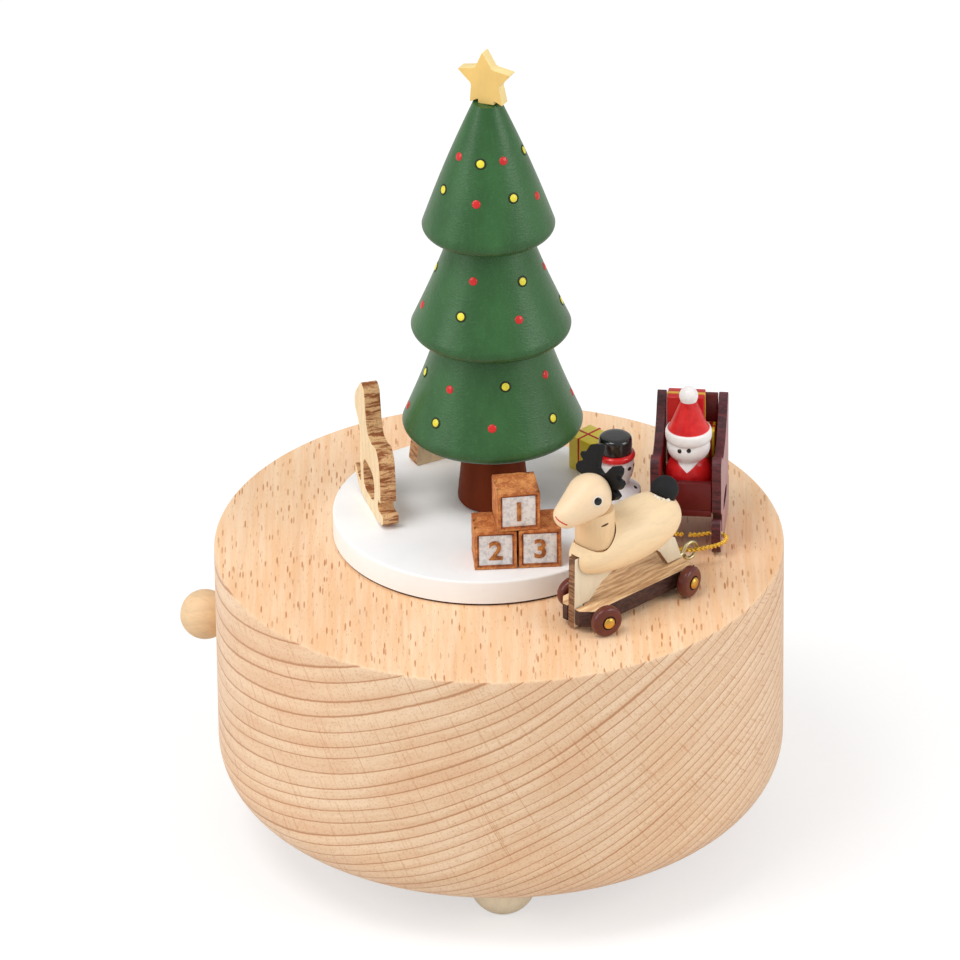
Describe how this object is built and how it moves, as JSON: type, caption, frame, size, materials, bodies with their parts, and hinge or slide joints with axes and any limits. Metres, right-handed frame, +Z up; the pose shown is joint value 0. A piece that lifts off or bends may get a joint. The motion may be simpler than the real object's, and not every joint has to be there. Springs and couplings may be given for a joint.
{
  "type": "music box",
  "caption": "Turned wooden music box with a tree and toys on a fixed round platform, circled by a wheeled reindeer that tows a sleigh; wound by a key beneath and held by a side knob.",
  "frame": {"origin": "on the floor, at the middle of the whole object's outline", "axes": "+Z up; the picture looks along +Y, so the reindeer's side of the object faces -Y; +X to the right in the picture"},
  "size_m": [0.1177, 0.11, 0.1631],
  "materials": {
    "beech": "satin, pale with short flecks",
    "pale_wood": "satin, pale",
    "plywood": "matte, laser burnt edges",
    "dark_wood": "satin, stained dark",
    "white_paint": "satin white paint",
    "green_lacquer": "satin green lacquer",
    "ochre_paint": "matte ochre paint",
    "red_paint": "gloss red paint",
    "yellow_paint": "gloss yellow paint",
    "maroon_paint": "satin dark red paint",
    "black_paint": "matte black paint",
    "wheel_paint": "satin red-brown paint",
    "steel": "plain",
    "brass": "plain",
    "plastic": "plain",
    "cord": "twisted gold thread"
  },
  "bodies": {
    "base": {"base_block": "beech", "bottom_cover": "beech", "cover_screw_1": "steel", "cover_screw_2": "steel", "cover_screw_3": "steel", "foot_1": "pale_wood", "foot_2": "pale_wood", "foot_3": "pale_wood", "bedplate": "steel", "bearing_frame": "brass", "comb": "steel", "comb_bridge": "brass", "platform": "white_paint", "tree_trunk": "dark_wood", "tree_tier_bottom": "green_lacquer", "tree_tier_middle": "green_lacquer", "tree_tier_top": "green_lacquer", "star": "ochre_paint", "rocking_horse": "plywood", "block_one": "plywood", "block_two": "plywood", "block_three": "plywood", "gift_large": "yellow_paint", "toy_cottage": "plywood", "snowman": "white_paint"},
    "spindle": {"spindle_shaft": "steel", "spring_barrel": "brass", "mainspring": "steel", "magnet_arm": "plastic", "drive_magnet": "steel"},
    "cylinder": {"music_cylinder": "brass"},
    "governor": {"governor_fan": "plastic"},
    "key": {"winding_key": "brass"},
    "knob": {"knob_bead": "pale_wood", "knob_rod": "pale_wood"},
    "cart": {"cart_plank": "dark_wood", "leg_plate": "plywood", "reindeer_body": "pale_wood", "reindeer_neck": "pale_wood", "reindeer_head": "pale_wood", "antlers": "black_paint", "tail_ball": "black_paint", "cart_magnet": "steel", "screw_eye": "brass", "axle_front": "brass", "axle_rear": "brass"},
    "front_outer_wheel": {"wheel_front_outer": "wheel_paint"},
    "front_inner_wheel": {"wheel_front_inner": "wheel_paint"},
    "rear_outer_wheel": {"wheel_rear_outer": "wheel_paint"},
    "rear_inner_wheel": {"wheel_rear_inner": "wheel_paint"},
    "sleigh": {"sleigh_side_left": "maroon_paint", "sleigh_side_right": "maroon_paint", "sleigh_floor": "maroon_paint", "sleigh_front_board": "maroon_paint", "sleigh_back_board": "maroon_paint", "santa": "red_paint", "gift_red": "red_paint", "gift_yellow": "yellow_paint", "tow_cord": "cord"}
  },
  "joints": [
    {"name": "spindle_turn", "type": "hinge", "parent": "base", "child": "spindle", "pos_m": [0.00122, 0.0034, 0.03], "axis": [0, 0, 1], "continuous": true},
    {"name": "cylinder_turn", "type": "hinge", "parent": "base", "child": "cylinder", "pos_m": [0.02122, 0.0034, 0.02693], "axis": [1, 0, 0], "continuous": true},
    {"name": "governor_turn", "type": "hinge", "parent": "base", "child": "governor", "pos_m": [0.02122, 0.01443, 0.02693], "axis": [1, 0, 0], "continuous": true},
    {"name": "winding_turn", "type": "hinge", "parent": "base", "child": "key", "pos_m": [0.00122, 0.0034, 0.005], "axis": [0, 0, -1], "range_deg": [0, 2160]},
    {"name": "stop_slide", "type": "slide", "parent": "base", "child": "knob", "axis": [0.9198, -0.3923, 0], "range_m": [0, 0.0035]},
    {"name": "cart_run", "type": "hinge", "parent": "base", "child": "cart", "pos_m": [0.00122, 0.0034, 0.063], "axis": [0, 0, 1], "continuous": true},
    {"name": "front_outer_spin", "type": "hinge", "parent": "cart", "child": "front_outer_wheel", "pos_m": [0.02406, -0.03743, 0.0641], "axis": [0.4883, -0.8727, 0], "continuous": true},
    {"name": "front_inner_spin", "type": "hinge", "parent": "cart", "child": "front_inner_wheel", "pos_m": [0.01779, -0.02621, 0.0641], "axis": [0.4883, -0.8727, 0], "continuous": true},
    {"name": "rear_outer_spin", "type": "hinge", "parent": "cart", "child": "rear_outer_wheel", "pos_m": [0.04008, -0.02265, 0.0641], "axis": [0.8307, -0.5567, 0], "continuous": true},
    {"name": "rear_inner_spin", "type": "hinge", "parent": "cart", "child": "rear_inner_wheel", "pos_m": [0.02941, -0.01549, 0.0641], "axis": [0.8307, -0.5567, 0], "continuous": true},
    {"name": "sleigh_sway", "type": "hinge", "parent": "cart", "child": "sleigh", "pos_m": [0.04055, -0.0118, 0.0649], "axis": [0, 0, 1], "range_deg": [-6, 6]}
  ],
  "couplings": [
    {"joint": "spindle_turn", "follows": "cart_run", "ratio": 1},
    {"joint": "cylinder_turn", "follows": "cart_run", "ratio": 3.3333},
    {"joint": "governor_turn", "follows": "cart_run", "ratio": -20},
    {"joint": "front_outer_spin", "follows": "cart_run", "ratio": -15.093},
    {"joint": "front_inner_spin", "follows": "cart_run", "ratio": -10.946},
    {"joint": "rear_outer_spin", "follows": "cart_run", "ratio": -15.093},
    {"joint": "rear_inner_spin", "follows": "cart_run", "ratio": -10.946}
  ]
}
